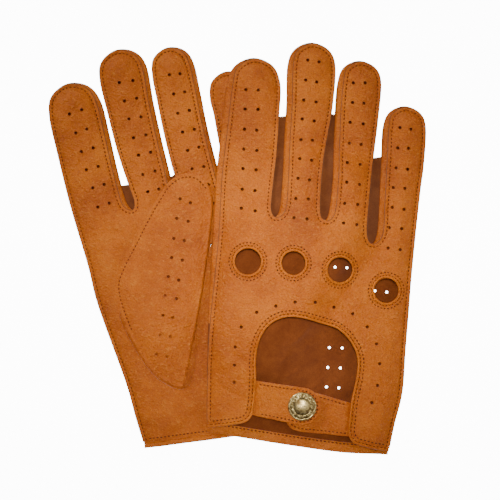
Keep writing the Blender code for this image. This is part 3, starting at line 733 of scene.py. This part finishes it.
class Glove:
    """One glove's visible pieces."""

    def __init__(self, side):
        self.side = side
        right = side == "right"
        self.right = right
        self.placement = place_right if right else place_left
        self.thumb_placement = place_right_thumb if right else place_left
        self.mirrored = not right
        self.up = "back" if right else "palm"
        self.body = f"{side}_hand"
        self.tab_sink = 0.0 if right else 2.4
        self.fingers = RIGHT_FINGERS if right else LEFT_FINGERS
        self.crotches = RIGHT_CROTCHES if right else LEFT_CROTCHES
        self.rim = self.make_rim(self.fingers, self.crotches)
        self.edges = {"back": self.rim[:, :2], "palm": self.rim[:, :2]}
        self.edges[self.up] = offset(self.rim, -self.rim[:, 3])
        self.dome = spline(DOME)
        self.hem = spline(HEM)
        self.stitches = Stitches(self.placement)
        self.holes = {
            "back": columns(RIGHT_BACK_PAIRS if right else LEFT_BACK_PAIRS) + list(DOME_HOLES),
            "palm": columns(RIGHT_PALM_PAIRS if right else LEFT_PALM_PAIRS),
        }

    def make_rim(self, fingers, crotches):
        """Rim samples: x, y, how far the panels' edges stand apart, width of the strip that shows."""
        strip = STRIP_RIGHT if self.right else STRIP_LEFT
        knots = [(x, y, 0, 0) for x, y in THUMB_EDGE_OF_HAND]
        for number, (thumb_side, (x, y, radius), other_side) in enumerate(fingers):
            outer = number == 0
            for k, (px, py, fork) in enumerate(thumb_side):
                share = 0.35 if outer and k == 0 else 1.0
                wide = strip * share if self.right else 0
                apart = FORK_RISE * fork if not outer else WRAP_RISE * share * self.right
                knots.append((px, py, apart, wide))
            for k in range(5):
                a = math.pi * (1 - k / 4)
                fade = (1 - k / 2.4) if self.right else (k - 1.6) / 2.4
                fade = min(max(fade, 0), 1)
                knots.append((x + radius * math.cos(a), y + radius * math.sin(a),
                              WRAP_RISE * fade, strip * fade))
            last = number == len(fingers) - 1
            for k, (px, py, fork) in enumerate(other_side):
                share = 0.35 if last and k == len(other_side) - 1 else 1.0
                wide = 0 if self.right else strip * share
                apart = FORK_RISE * fork if not last else WRAP_RISE * share * (not self.right)
                knots.append((px, py, apart, wide))
            if number < len(crotches):
                knots.append((*crotches[number], FORK_RISE, 0.0))
        knots += [(x, y, 0, 0) for x, y in LITTLE_EDGE_OF_HAND]
        rim = spline(knots)
        rim[:, 2:] = np.clip(rim[:, 2:], 0, None)
        return rim

    def half(self, panel, points):
        """Half the height of the hollow, and how far the place is from the panel's cut edge."""
        away, segment, share = distances(points, self.edges[panel][::2])
        rise = self.rim[::2, 2]
        last = len(rise) - 1
        edge = GAP / 2 + rise[segment] + (rise[np.minimum(segment + 1, last)] - rise[segment]) * share
        climb = np.sin(np.pi / 2 * np.clip((away - FLANGE) / RISE_LENGTH, 0, 1))
        return edge + (CAVITY_HALF - edge) * climb, away

    def relief(self, panel, points, away):
        """Soft wrinkles and unevenness of the hide."""
        seed = {"back": 3.7, "palm": 8.1}[panel] + (0.0 if self.right else 20.0)
        lean = 42.0 if panel == "palm" else -38.0
        broad = waves(points, seed, lean, 11.0, 22.0) * 0.7
        creases = waves(points, seed + 5, lean, 3.2, 13.0)
        creases = -np.clip(creases - 0.1, 0, 1) * 1.1
        cross = waves(points, seed + 9, 8.0, 2.6, 15.0)
        on_fingers = smooth((points[:, 1] - 118) / 20)
        cross = -np.clip(cross - 0.1, 0, 1) * 0.55 * on_fingers
        fade = smooth((away - 1.6) / 5.0)
        if self.right and panel == "back":
            off_valley = distances(points, FOLD_VALLEY)[0]
            broad = broad - 0.8 * np.exp(-(off_valley / 4.0) ** 2)
        return (broad + creases + cross) * fade

    def face(self, panel, points):
        """Outer and inner heights of a panel."""
        points = np.array(points, float)[:, :2]
        half, away = self.half(panel, points)
        lift = self.relief(panel, points, away)
        lies = panel == "back" and not self.right
        if lies:
            lift = np.minimum(lift, 0.0)
        groove = 0.24 * np.exp(-((away - SEAM_IN) / 0.55) ** 2)
        rounding = 0.22 * np.exp(-(away / 0.45) ** 2)
        pillow = 0.16 * np.exp(-((away - SEAM_IN - 1.6) / 0.9) ** 2)
        sign = facing(panel)
        inner = MID + sign * (half + lift)
        outer = inner + sign * (LEATHER - groove - rounding + pillow)
        if lies:
            outer = np.minimum(outer, THICK)
        return outer, inner

    def outer(self, panel):
        return lambda points: self.face(panel, points)[0]

    def panel(self, panel, outline, cuts, perforations):
        sign = facing(panel)
        holes = [*cuts]
        radius = HOLE_RADIUS if panel == self.up else HIDDEN_HOLE_RADIUS
        for x, y in perforations:
            holes.append(circle(x, y, radius, sides=10))
        region = fill(outline, holes)
        outer, inner = self.face(panel, region[0])
        high, low = (outer, inner) if sign > 0 else (inner, outer)
        made = skin(f"{self.side}_{panel}_leather", region, high, low, self.placement, sign > 0,
                    self.mirrored, self.edges[panel])
        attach(made, self.body)
        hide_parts(f"{self.side}_{panel}_panel")
        return made

    def seam(self, panel):
        """The stitch line that joins the panels, inside the cut edge all the way round."""
        line = offset(self.edges[panel], -SEAM_IN)
        away = distances(line, self.edges[panel])[0]
        line = line[away > 0.93 * SEAM_IN]
        sign = facing(panel)
        self.stitches.add(line, self.outer(panel), sign, sink=0.02)

    def back(self):
        edge = offset(self.dome, BINDING_WIDTH + 0.15)
        rim = self.edges["back"]
        ends = np.arange(len(rim))
        rim = rim[((ends > 6) | (rim[:, 1] > edge[0][1] + 0.3))
                  & ((ends < len(rim) - 6) | (rim[:, 1] > edge[-1][1] + 0.3))]
        outline = np.vstack([rim, edge[::-1]])
        cuts = [circle(x, y, r + RING_WIDTH + 0.15, sides=44) for x, y, r in KNUCKLES]
        self.panel("back", outline, cuts, self.holes["back"])
        self.seam("back")
        outer = self.outer("back")
        self.stitches.add(offset(self.dome, BINDING_WIDTH + 1.3)[2:-2], outer, sink=0.05)
        self.stitches.add(offset(self.dome, 1.42)[1:-1], outer, length=1.15, radius=0.22, sink=0.08)
        for x, y, r in KNUCKLES:
            ring = circle(x, y, r + RING_WIDTH + 1.1, sides=60)
            self.stitches.add(ring, outer, pitch=2.0, length=1.25, sink=0.05, closed=True)
            ring = circle(x, y, r + 1.45, sides=60)
            self.stitches.add(ring, outer, pitch=1.8, length=1.0, radius=0.2, sink=0.1, closed=True)

    def thumb_cut(self):
        """The palm's thumb opening, open as a crescent beside the folded thumb."""
        knots = ((-22.4, 31.8), (-14.8, 33.6), (-9.4, 43.1), (-6.3, 53.4), (-5.4, 62.6), (-9.5, 76.0),
                 (-20.0, 86.5), (-33.0, 88.0), (-42.0, 82.0), (-41.4, 70.5), (-37.9, 54.4),
                 (-32.2, 41.0))
        return spline(knots, closed=True)

    def palm(self):
        hem = offset(self.hem, CUFF_WIDTH + 0.15)
        outline = np.vstack([self.edges["palm"], hem[1:-1][::-1]])
        self.panel("palm", outline, [self.thumb_cut()], self.holes["palm"])
        self.seam("palm")
        self.stitches.add(offset(self.hem, CUFF_WIDTH + 1.8)[2:-2], self.outer("palm"), -1.0, sink=0.05)
        self.flap()

    def flap(self):
        """The hem binding's other half, turned in over the palm's inside and stitched along its top."""
        low_edge, high_edge = offset(self.hem, 0.9)[1:-1], offset(self.hem, 5.7)[1:-1]
        region = fill(np.vstack([low_edge, high_edge[::-1]]), bands=(0.5,))
        inner = self.face("palm", region[0])[1]
        made = skin(f"{self.side}_hem_flap", region, inner + 0.62, inner + 0.05, self.placement, True,
                    self.mirrored)
        made.data.materials[0] = BINDING
        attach(made, self.body)

        def top(points):
            return self.face("palm", points)[1] + 0.62
        self.stitches.add(offset(self.hem, 4.8)[3:-3], top, sink=0.04)

    def webs(self):
        """The fourchettes' inner faces, which close each slit between two fingers."""
        for number, (name, crotch) in enumerate(zip(SLIT_NAMES, self.crotches)):
            top = (183.0, 184.0, 160.0)[number] if self.right else crotch[1] + 15.0
            down = spline([knot[:2] for knot in self.fingers[number][2]] + [crotch])
            climb = spline([crotch] + [knot[:2] for knot in self.fingers[number + 1][0]])
            outline = clockwise(np.vstack([down[down[:, 1] < top], climb[1:][climb[1:, 1] < top]]))
            wide = offset(outline, 0.6, closed=True)
            region = fill(wide, bands=())
            level = np.full(len(region[0]), MID)
            made = skin(f"{self.side}_{name}_web", region, level + WEB_HALF, level - WEB_HALF,
                        self.placement, True, self.mirrored)
            # The webs' colour is painted shade: a darker suede for the shade in the slits.
            for slot in range(len(made.data.materials)):
                made.data.materials[slot] = SHADED_WEB
            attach(made, self.body)

    def forks(self):
        """Fourchettes, and the palm's own leather where it wraps round an outer edge."""
        shown = self.up
        edge_in = {"back": np.zeros(len(self.rim)), "palm": np.zeros(len(self.rim))}
        edge_in[shown] = self.rim[:, 3]
        runs, run = [], []
        for number, rise in enumerate(self.rim[:, 2]):
            if rise > FORK_SHOWS:
                run.append(number)
            elif run:
                runs.append(run)
                run = []
        if run:
            runs.append(run)
        out = normals(self.rim)
        for numbers in runs:
            numbers = np.array(numbers)
            if len(numbers) < FORK_SAMPLES:
                continue
            centre = self.rim[numbers, :2]
            left = out[numbers]
            tall = np.maximum(self.rim[numbers, 2] + GAP / 2 - FORK_CLEARANCE, FORK_LEAST)
            insets = {p: edge_in[p][numbers] for p in ("back", "palm")}
            path = []
            for share in (1.0, 0.72, 0.45):
                path.append((insets["back"] + FORK_HEM * share + 0.2, tall))
            for a in np.radians((FORK_BEND, 45, 22, 0, -22, -45, -FORK_BEND)):
                deep = np.where(a > 0, insets["back"], insets["palm"])
                inset = 0.45 + (deep + 0.75) * (1 - math.cos(a))
                path.append((inset, tall * math.sin(a) / math.sin(math.radians(FORK_BEND)) * 0.94))
            for share in (0.45, 0.72, 1.0):
                path.append((insets["palm"] + FORK_HEM * share + 0.2, -tall))
            inset = np.array([p[0] for p in path]).T
            level = np.array([p[1] for p in path]).T
            slope_i = np.gradient(inset, axis=1)
            slope_l = np.gradient(level, axis=1)
            size = np.maximum(np.hypot(slope_i, slope_l), 1e-6)
            ni, nl = slope_l / size, -slope_i / size
            outer_i, outer_l = inset + ni * FORK_HALF, level + nl * FORK_HALF
            inner_i, inner_l = inset - ni * FORK_HALF, level - nl * FORK_HALF
            loop_i = np.concatenate([outer_i, inner_i[:, ::-1]], axis=1)
            loop_l = np.concatenate([outer_l, inner_l[:, ::-1]], axis=1)
            xy = centre[:, None, :] - left[:, None, :] * loop_i[:, :, None]
            rows = np.concatenate([xy, (MID + loop_l)[:, :, None]], axis=2)
            mean = centre.mean(axis=0)
            apart = FORK_RISE * 0.9 < self.rim[numbers, 2].max()
            nearest = int(np.argmin([abs(mean[0] - place[0]) for place in self.crotches]))
            node = f"{self.side}_fourchette_{SLIT_NAMES[nearest]}"
            label = f"{node}_leather" if apart else f"{self.side}_edge_wrap"
            made = swept(label, rows, self.placement, HIDE, False, self.mirrored)
            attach(made, self.body)
            if apart:
                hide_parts(node)

    def edging(self, name, line, profile, panel, node, closed=False):
        """A rolled strip of leather along a line: profile is (across to the left, out) points."""
        sign = facing(panel)
        left = normals(line, closed)
        across = np.array([p[0] for p in profile])
        out = np.array([p[1] for p in profile])
        xy = line[:, None, :2] + left[:, None, :] * across[None, :, None]
        base = self.outer(panel)(xy.reshape(-1, 2)).reshape(len(line), -1)
        base = base[:, [len(profile) // 2]] * 0.5 + base * 0.5
        level = base + sign * out
        if panel == "back" and not self.right:
            level = np.minimum(level, THICK)
        rows = np.concatenate([xy, level[:, :, None]], axis=2)
        if sign > 0:
            rows = rows[:, ::-1]
        made = swept(name, rows, self.placement, BINDING, closed, self.mirrored)
        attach(made, self.body)
        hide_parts(node)
        return made

    def edgings(self):
        rolled = [(0.1, -1.35), (-0.2, -0.75), (-0.22, -0.1), (0.0, 0.3), (0.38, 0.52), (0.78, 0.5),
                  (1.08, 0.22), (1.27, -0.16), (1.56, -0.16), (1.76, 0.2), (1.98, 0.2), (2.1, -0.02),
                  (2.08, -0.8), (1.3, -1.3)]
        for finger, (x, y, r) in zip(FINGER_NAMES, KNUCKLES):
            ring = circle(x, y, r, sides=56)[::-1]
            self.edging(f"{self.side}_knuckle_ring_{finger}_rolled", ring, rolled, "back",
                        f"{self.side}_knuckle_ring_{finger}", True)
        self.edging(f"{self.side}_dome_binding_rolled", self.dome, rolled, "back",
                    f"{self.side}_dome_binding")
        wide = [(across * 1.48, out) for across, out in rolled]
        self.edging(f"{self.side}_cuff_binding_rolled", self.hem, wide, "palm",
                    f"{self.side}_cuff_binding")

    def upper_tab_top(self, x):
        return THICK - self.tab_sink * smooth((x - UPPER_TAB_ROOT[0][0]) / 16.0)

    def under_tab_top(self, x):
        deep = self.tab_sink + LEATHER + TAB_SPACING
        return THICK - deep * (1 - smooth((x - 14.5) / 13.0))

    def tab(self, name, outline, top, hole_radius, seam_from, seam_to, stitches):
        """A strap: soft rounded edges, a stitched border and a hole for the snap's shank."""
        hole = circle(*SNAP, hole_radius, sides=20)
        region = fill(outline, [hole], bands=(0.5, 1.1, 1.8), grid=GRID)
        flat = region[0]
        away = distances(flat, outline, True)[0]

        def height(points):
            gap = distances(points, outline, True)[0]
            return (top(np.array(points)[:, 0]) + 0.12 - 0.3 * np.exp(-(gap / 0.5) ** 2)
                    - 0.16 * np.exp(-((gap - 1.7) / 0.45) ** 2))
        high = height(flat)
        low = top(flat[:, 0]) - LEATHER + 0.12 * np.exp(-(away / 0.5) ** 2)
        made = skin(name, region, high, low, self.placement, True, self.mirrored)
        side = self.seam_side(outline[seam_from:seam_to], outline)
        line = offset(outline, 1.7 * side, closed=True)
        line = np.roll(line, -seam_from, axis=0)[:seam_to - seam_from]
        line = line[distances(line, outline, True)[0] > 1.55]
        stitches.add(line, height, sink=0.04)
        return made

    def tabs(self):
        lean = math.radians(-10.5)
        turn = lean + np.radians(np.arange(-90, 91, 9))
        end = np.array(SNAP) + TAB_RADIUS * np.stack([np.cos(turn), np.sin(turn)], axis=1)
        tuck = np.array([(-25.1, 34.6), (-25.2, 26.0), (-26.0, 16.2)])
        root_line = resample(tuck, LINE_STEP)
        outline = np.vstack([root_line, resample([UPPER_TAB_ROOT[-1], end[0]], LINE_STEP)[:-1],
                             end, resample([end[-1], UPPER_TAB_ROOT[0]], LINE_STEP)[1:]])
        roots = len(root_line)

        def top(x):
            return self.upper_tab_top(x) - TUCK * (1 - smooth((x + 25.0) / 5.0))
        strap_stitches = Stitches(self.placement)
        made = self.tab(f"{self.side}_snap_tab_leather", outline, top, 1.75, roots + 2, len(outline) - 1,
                        strap_stitches)
        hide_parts(f"{self.side}_snap_tab")
        thread = strap_stitches.build(f"{self.side}_strap_stitches", self.mirrored)
        root = np.array([[-25.0, 25.0, THICK], [-20.5, 25.0, THICK]])
        start, finish = (self.placement(root) + SHIFT) * MM
        for piece in (made, thread):
            tuple(start)
            tuple(finish)
            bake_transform(piece)
        under = spline(UNDER_TAB)
        reach = np.array([(31.6, 3.2), (32.0, 12.0), (31.8, 22.2)])
        outline = np.vstack([under, resample(reach, LINE_STEP)])[::-1]

        def under_top(x):
            return self.under_tab_top(x) - TUCK * smooth((x - 25.5) / 5.0)
        made = self.tab(f"{self.side}_under_tab_leather", outline, under_top, 1.3, len(reach),
                        len(outline) - 2, self.stitches)
        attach(made, self.body)
        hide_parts(f"{self.side}_under_tab")

    def thumb(self):
        """The folded thumb: an outer sheet away from the palm and an inner one with its mouth."""
        outline = clockwise(spline(THUMB_OUTLINE, closed=True))
        mouth = circle(*THUMB_HOLE, sides=48)
        folded = spline(THUMB_OUTLINE[13:] + THUMB_OUTLINE[:1])

        def halves(points, seed):
            away = distances(points, outline, True)[0]
            fold = np.exp(-(distances(points, folded)[0] / 2.2) ** 2)
            climb = np.sin(np.pi / 2 * np.clip((away - 1.6 * (1 - fold)) / 8.5, 0, 1))
            inner = 0.05 + (THUMB_THICK / 2 - LEATHER - 0.05) * climb
            wrinkle = waves(points, seed, 24.0, 2.6, 13.0)
            broad = waves(points, seed + 3, 30.0, 9.0, 22.0) * 0.3
            wrinkle = -np.clip(wrinkle - 0.08, 0, 1) * 0.7 + broad
            wrinkle *= smooth((away - 1.5) / 5.0)
            groove = 0.24 * np.exp(-((away - SEAM_IN) / 0.55) ** 2) * (1 - fold)
            rounding = (0.2 + 0.6 * fold) * np.exp(-(away / 0.5) ** 2)
            outer = inner + LEATHER - groove - rounding
            return np.minimum(outer + np.minimum(wrinkle, 0.1), THUMB_THICK / 2), np.minimum(
                inner + wrinkle * 0.6, THUMB_THICK / 2 - 0.5).clip(0.03)
        middle = -GAP - THUMB_THICK / 2

        def taper(y, z):
            return -GAP + (z + GAP) * thumb_thickness(y) / THUMB_THICK
        holes = [circle(x, y, HOLE_RADIUS) for x, y in columns(THUMB_PAIRS)]
        far = fill(outline, holes)
        outer, inner = halves(far[0], 31.0)
        low, high = taper(far[0][:, 1], middle - outer), taper(far[0][:, 1], middle - inner)
        far_skin = skin(f"{self.side}_thumb_outer_leather", far, high, low, self.thumb_placement, False,
                        self.mirrored)
        near = fill(outline, [mouth])
        outer, inner = halves(near[0], 47.0)
        high, low = taper(near[0][:, 1], middle + outer), taper(near[0][:, 1], middle + inner)
        near_skin = skin(f"{self.side}_thumb_inner_leather", near, high, low, self.thumb_placement, True,
                         self.mirrored)
        thread = Stitches(self.thumb_placement)

        def far_height(points):
            points = np.array(points)
            return taper(points[:, 1], middle - halves(points, 31.0)[0])
        seam = spline(THUMB_OUTLINE[3:14])
        seam = offset(seam, SEAM_IN * self.seam_side(seam, outline))
        thread.add(seam, far_height, -1.0)
        thread = thread.build(f"{self.side}_thumb_stitches", self.mirrored)
        for piece in (far_skin, near_skin, thread):
            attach(piece, f"{self.side}_thumb_body")
        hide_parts(f"{self.side}_thumb")

    @staticmethod
    def seam_side(line, outline):
        """+1 if the outline's inside is to the left of the line."""
        probe = offset(line, 1.0)[len(line) // 2][None, :]
        return 1.0 if inside(probe, outline)[0] else -1.0

    def gusset(self):
        """Thumb leather that fills the palm's opening beside the folded thumb."""
        ring = self.thumb_cut()
        outward = 0.9 if turns_clockwise(ring) else -0.9
        wide = clockwise(offset(ring, outward, closed=True))
        region = fill(wide, [], bands=(0.8, 1.7), grid=GRID * 1.3)
        flat = region[0]
        inner = self.face("palm", flat)[1]
        sag = 0.25 + 0.5 * smooth(distances(flat, wide, True)[0] / 6.0)
        low = inner + 0.12 + sag * 0.4
        made = skin(f"{self.side}_thumb_gusset", region, low + 0.8, low, self.placement, False,
                    self.mirrored)
        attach(made, self.body)

    def metals(self):
        """The snap's cap: a low dome with a milled ring round it. Its other pieces are the CAD's."""
        top = self.upper_tab_top(SNAP[0])
        sides = 96
        profile = [(0.0, -0.85), (1.5, -0.85), (1.5, 0.12), (7.2, 0.12), (7.75, 0.2), (7.98, 0.5),
                   (7.9, 0.85), (7.6, 1.08), (7.25, 1.15), (6.95, 1.05), (6.8, 0.98), (6.5, 1.16),
                   (5.4, 1.42), (5.15, 1.3), (5.0, 1.3), (4.8, 1.55), (4.2, 1.78), (3.2, 2.0),
                   (1.8, 2.18), (0.7, 2.26), (0.0, 2.28)]
        points, loops, rings = [], [], []
        turn = 2 * np.pi * np.arange(sides) / sides
        for radius, height in profile:
            start = len(points)
            if radius == 0:
                points.append((SNAP[0], SNAP[1], top + height))
                rings.append([start])
                continue
            mill = 0.14 * np.sign(np.cos(turn * 24)) * (5.3 < radius < 6.6)
            points += [(SNAP[0] + radius * math.cos(a), SNAP[1] + radius * math.sin(a), top + height + m)
                       for a, m in zip(turn, mill)]
            rings.append(list(range(start, start + sides)))
        for lower, upper in zip(rings, rings[1:]):
            for k in range(sides):
                quad = [lower[k % len(lower)], lower[(k + 1) % len(lower)],
                        upper[(k + 1) % len(upper)], upper[k % len(upper)]]
                loops.append(list(dict.fromkeys(quad)))
        points = np.array(points)
        placed = self.placement(points)
        level = self.placement(np.array([[*SNAP, 0.0]]))[0, 2]
        placed[:, 2] = level + (points[:, 2] if self.right else -points[:, 2])
        cap = finish_mesh(f"{self.side}_snap_cap_domed", placed, loops, [0] * len(loops), (BRASS,), 38.0,
                          self.mirrored)
        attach(cap, f"{self.side}_strap")
        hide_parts(f"{self.side}_snap_cap")
        for node in ("snap_socket", "snap_stud", "snap_post"):
            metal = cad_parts[f"{self.side}_{node}"]
            for slot in metal.material_slots:
                slot.material = STEEL

    def build(self):
        self.back()
        self.palm()
        self.forks()
        self.webs()
        self.edgings()
        self.tabs()
        self.thumb()
        self.gusset()
        self.metals()
        thread = self.stitches.build(f"{self.side}_stitches", self.mirrored)
        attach(thread, self.body)


# Stage


def stage():
    bpy.ops.mesh.primitive_plane_add(size=4.0, location=(0, 0, -0.0001))
    floor = bpy.context.object
    floor.name = "floor"
    made, tree, shader = shader_of("paper_white")
    settings(shader, {"Base Color": (0.9, 0.9, 0.9, 1.0), "Roughness": 0.9,
                      "Emission Color": (1.0, 1.0, 1.0, 1.0)})
    seen = tree.nodes.new("ShaderNodeLightPath").outputs["Is Camera Ray"]
    glow = scalar(tree, "ADD", scalar(tree, "MULTIPLY", seen, 12.0), 0.28)
    tree.links.new(glow, shader.inputs["Emission Strength"])
    floor.data.materials.append(made)
    world = bpy.data.worlds.new("studio")
    world.use_nodes = True
    settings(world.node_tree.nodes["Background"], {"Color": (1.0, 1.0, 1.0, 1.0), "Strength": 0.22})
    bpy.context.scene.world = world
    for name, kind, place, size, power in (
            ("key", "AREA", (-1.0, 1.0, 0.85), 0.35, 13.0), ("fill", "AREA", (0.9, -0.3, 1.0), 0.9, 4.0),
            ("centre", "SPOT", (0.0, 0.12, 1.25), 0.1, 86.0)):
        light = bpy.data.lights.new(name, kind)
        light.energy = power
        if kind == "AREA":
            light.size = size
        else:
            light.shadow_soft_size = size
            light.spot_size = math.radians(14.0)
            light.spot_blend = 1.0
        lamp = bpy.data.objects.new(name, light)
        lamp.location = place
        aim = Vector((0.015, -0.005, 0.0)) - Vector(place)
        lamp.rotation_euler = aim.to_track_quat("-Z", "Y").to_euler()
        bpy.context.scene.collection.objects.link(lamp)


def camera():
    lens = bpy.data.cameras.new("camera")
    lens.sensor_width = 36.0
    distance, height, width = 1.2, 0.01, 0.28
    lens.lens = 36.0 * (distance - height) / width
    lens.clip_end = 10.0
    view = bpy.data.objects.new("camera", lens)
    view.location = (0.007, -0.0008, distance)
    bpy.context.scene.collection.objects.link(view)
    bpy.context.scene.camera = view


camera()
stage()
for side in ("left", "right"):
    Glove(side).build()
